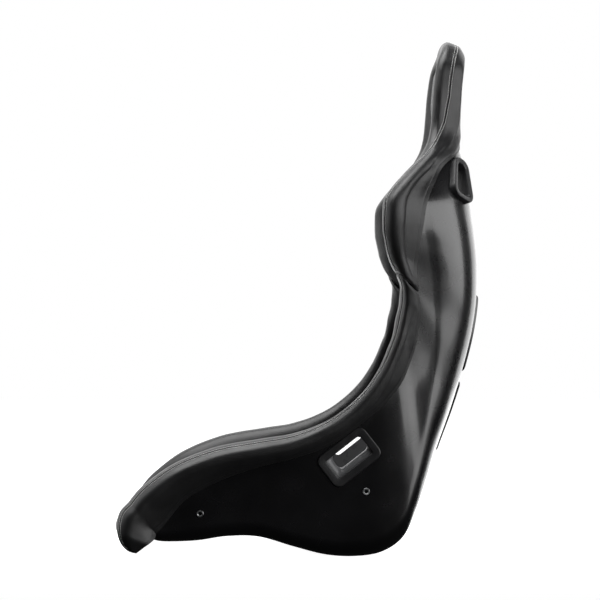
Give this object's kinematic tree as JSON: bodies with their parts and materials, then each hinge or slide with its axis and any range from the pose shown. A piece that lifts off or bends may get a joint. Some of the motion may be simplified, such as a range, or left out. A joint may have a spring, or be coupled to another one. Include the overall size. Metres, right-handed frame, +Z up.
{
  "type": "racing seat",
  "caption": "Fixed-back fibreglass racing bucket seat with padded rim rolls, harness slots, side-mount inserts and hook-and-loop cushions",
  "frame": {"origin": "middle of the seat's bounding box at floor level, where the front bolster ends and the lowest point of the pan touch", "axes": "+Z up, the sitter faces -Y, +X is the sitter's left, X = 0 is the plane of symmetry"},
  "size_m": [0.5302, 0.6478, 0.9066],
  "materials": {
    "frp_shell": "gloss black gel coat on fibreglass",
    "satin_trim": "satin black moulded plastic",
    "zinc_insert": "zinc-plated turned steel",
    "steel_strip": "plain steel strip",
    "leather": "black leather-look vinyl, fine grain, satin",
    "cushion_cloth": "black velour",
    "lining_cloth": "black needle felt",
    "foam": "grey moulded foam",
    "fastener_tape": "black hook-and-loop tape"
  },
  "bodies": {
    "root": {"shell": "frp_shell", "upper_back_strip": "frp_shell", "lower_back_strip": "frp_shell", "mount_strip_left": "steel_strip", "mount_strip_right": "steel_strip", "mount_inserts_left": "zinc_insert", "mount_inserts_right": "zinc_insert", "lap_slot_bezel_left": "satin_trim", "lap_slot_bezel_right": "satin_trim", "lap_slot_inner_trim_left": "satin_trim", "lap_slot_inner_trim_right": "satin_trim", "shoulder_slot_bezel_left": "satin_trim", "shoulder_slot_bezel_right": "satin_trim", "shoulder_slot_inner_trim_left": "satin_trim", "shoulder_slot_inner_trim_right": "satin_trim", "crotch_slot_bezel": "satin_trim", "crotch_slot_inner_trim": "satin_trim", "lining": "lining_cloth", "thigh_bolster_cover_left": "leather", "thigh_bolster_cover_right": "leather", "thigh_bolster_foam_left": "foam", "thigh_bolster_foam_right": "foam", "shoulder_bolster_cover_left": "leather", "shoulder_bolster_cover_right": "leather", "shoulder_bolster_foam_left": "foam", "shoulder_bolster_foam_right": "foam", "head_cover": "leather", "head_foam": "foam", "seat_cushion_cover": "cushion_cloth", "seat_cushion_foam": "foam", "back_cushion_cover": "cushion_cloth", "back_cushion_foam": "foam", "head_cushion_cover": "leather", "head_cushion_foam": "foam", "seat_hook_strips": "fastener_tape", "back_hook_strips": "fastener_tape", "head_hook_strips": "fastener_tape"}
  },
  "joints": []
}
